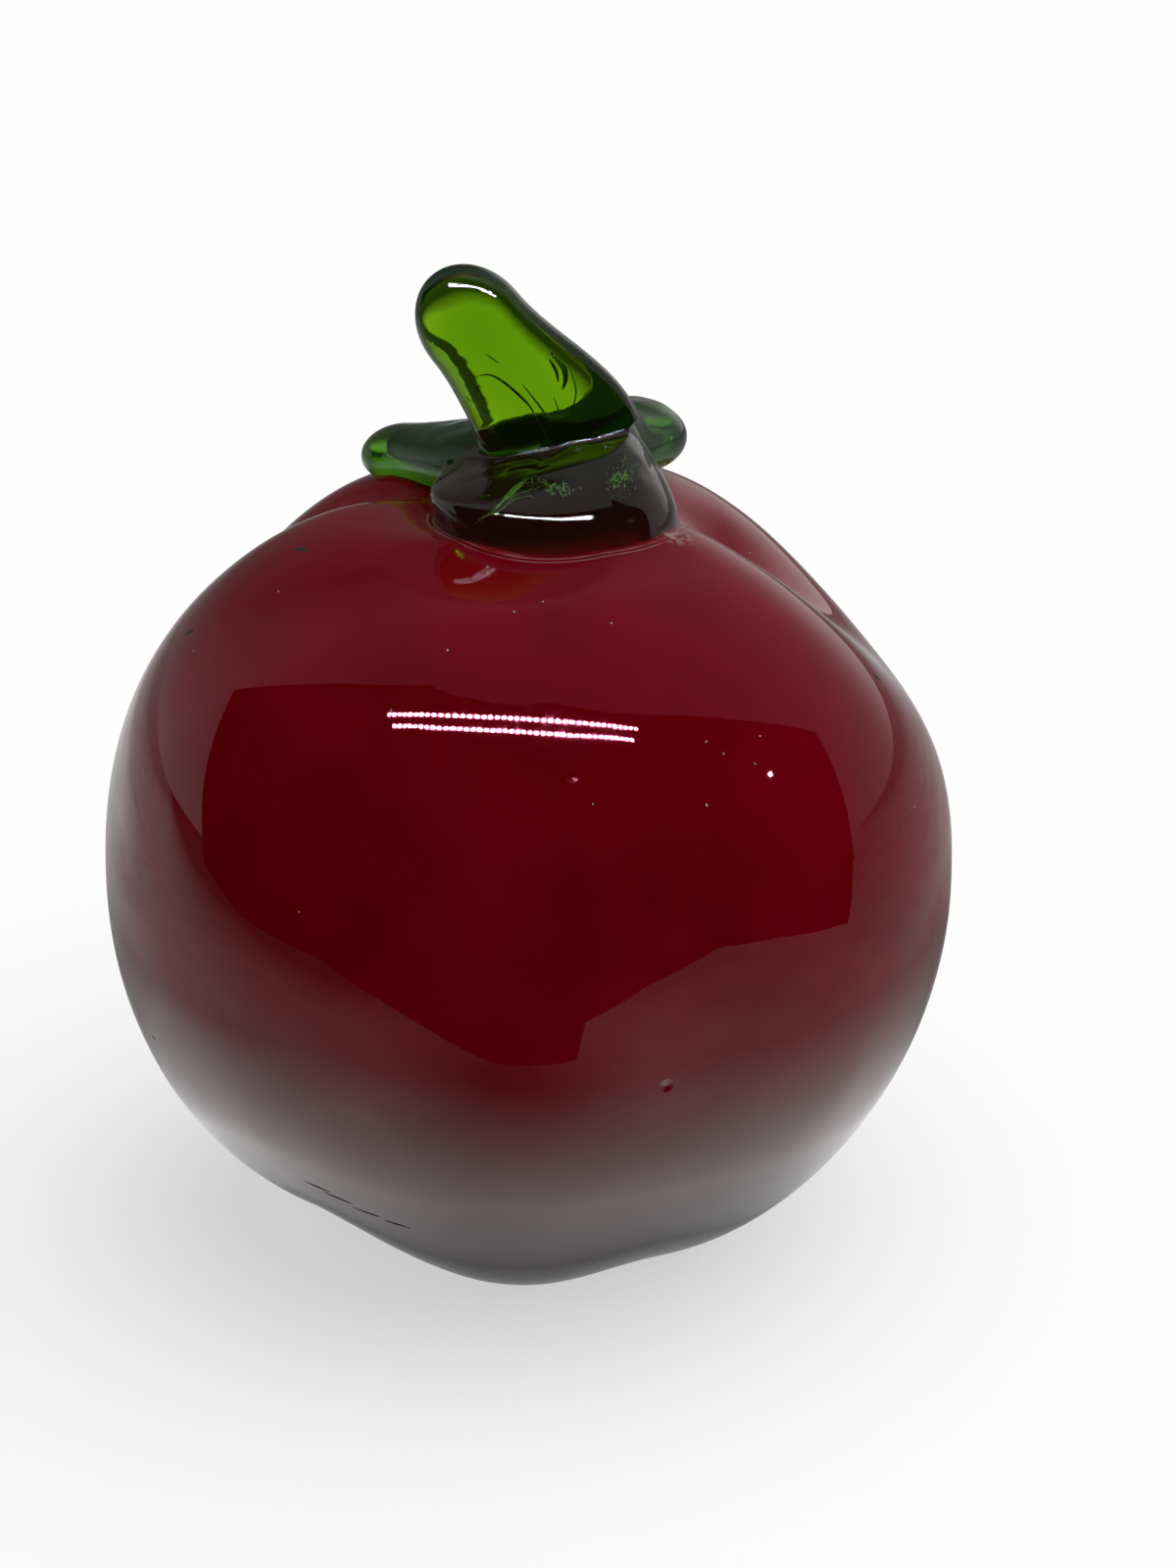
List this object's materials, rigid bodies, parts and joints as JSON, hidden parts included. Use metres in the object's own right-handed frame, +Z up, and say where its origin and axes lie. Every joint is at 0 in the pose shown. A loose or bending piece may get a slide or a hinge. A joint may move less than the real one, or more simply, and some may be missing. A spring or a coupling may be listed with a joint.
{
  "type": "art glass apple",
  "caption": "Hand-blown art glass apple: a lobed ruby body cased in clear glass on a ground flat foot, with a fused green stem, collar and leaves. Shelf ornament or paperweight.",
  "frame": {"origin": "on the table, at the middle of the ground flat foot, under the axis of the body", "axes": "+Z up from the foot to the stem, -Y to the side that the picture shows, +X to that view's right"},
  "size_m": [0.0901, 0.09, 0.1046],
  "materials": {
    "clear_glass": "fire-polished clear glass",
    "ruby_glass": "dense ruby glass",
    "green_glass": "fire-polished transparent green glass"
  },
  "bodies": {
    "root": {"clear_casing": "clear_glass", "ruby_bulb": "ruby_glass", "stem_collar": "green_glass", "stem": "green_glass", "left_leaf": "green_glass", "right_leaf": "green_glass"}
  },
  "joints": []
}
